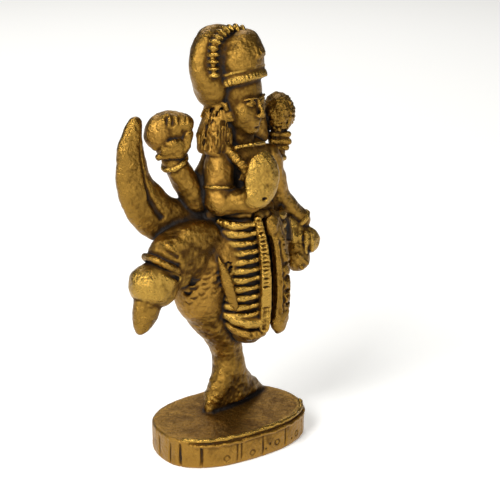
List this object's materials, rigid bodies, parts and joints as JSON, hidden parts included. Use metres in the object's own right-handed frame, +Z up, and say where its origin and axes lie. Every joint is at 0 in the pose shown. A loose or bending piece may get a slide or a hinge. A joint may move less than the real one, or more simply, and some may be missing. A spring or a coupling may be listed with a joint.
{
  "type": "brass figurine",
  "caption": "Miniature cast-brass nataraja: a four-armed dancing figure in a pleated dhoti and tall crown, one leg raised, on a D-shaped pedestal with a flat underside.",
  "frame": {"origin": "middle of the pedestal's flat underside", "axes": "+Z up along the figure, the figure faces -Y, its right hand side is -X"},
  "size_m": [0.0375, 0.0191, 0.0719],
  "materials": {
    "polished_brass": "lost-wax cast brass, high places rubbed bright, worn gold",
    "worn_brass": "lost-wax cast brass, satin, file and chisel marks, brown patina in the hollows",
    "aged_brass": "lost-wax cast brass, brown antique patina over satin metal",
    "dark_brass": "lost-wax cast brass, near-black patina left in deep recesses"
  },
  "bodies": {
    "root": {"belt": "dark_brass", "centre_sash": "polished_brass", "crown_band_lower": "polished_brass", "crown_band_upper": "polished_brass", "crown_crest": "polished_brass", "crown_dome": "worn_brass", "crown_hood": "worn_brass", "dhoti": "aged_brass", "ear_rosette_left": "worn_brass", "ear_rosette_right": "worn_brass", "front_left_bangle": "polished_brass", "front_left_bud": "worn_brass", "front_left_forearm": "worn_brass", "front_left_hand": "polished_brass", "front_left_upper_arm": "aged_brass", "front_right_armlet": "polished_brass", "front_right_forearm": "worn_brass", "front_right_hand": "polished_brass", "front_right_upper_arm": "aged_brass", "hair_lock_left": "aged_brass", "hair_lock_right": "aged_brass", "head": "worn_brass", "hem_swag_lower": "worn_brass", "hem_swag_upper": "polished_brass", "necklace": "polished_brass", "pedestal": "aged_brass", "pedestal_rim": "polished_brass", "pleats_left": "polished_brass", "pleats_right": "polished_brass", "raised_calf": "polished_brass", "raised_foot": "worn_brass", "raised_knee_band": "worn_brass", "raised_thigh": "worn_brass", "rear_left_bangle": "polished_brass", "rear_left_flame": "worn_brass", "rear_left_forearm": "worn_brass", "rear_left_hand": "worn_brass", "rear_left_upper_arm": "aged_brass", "rear_right_bangle": "polished_brass", "rear_right_drum": "aged_brass", "rear_right_forearm": "worn_brass", "rear_right_hand": "worn_brass", "rear_right_upper_arm": "aged_brass", "scarf_end": "worn_brass", "shoulder_garland": "worn_brass", "side_flap": "worn_brass", "side_sash": "worn_brass", "standing_foot": "worn_brass", "standing_shin": "worn_brass", "standing_thigh": "aged_brass", "torso": "aged_brass"}
  },
  "joints": []
}
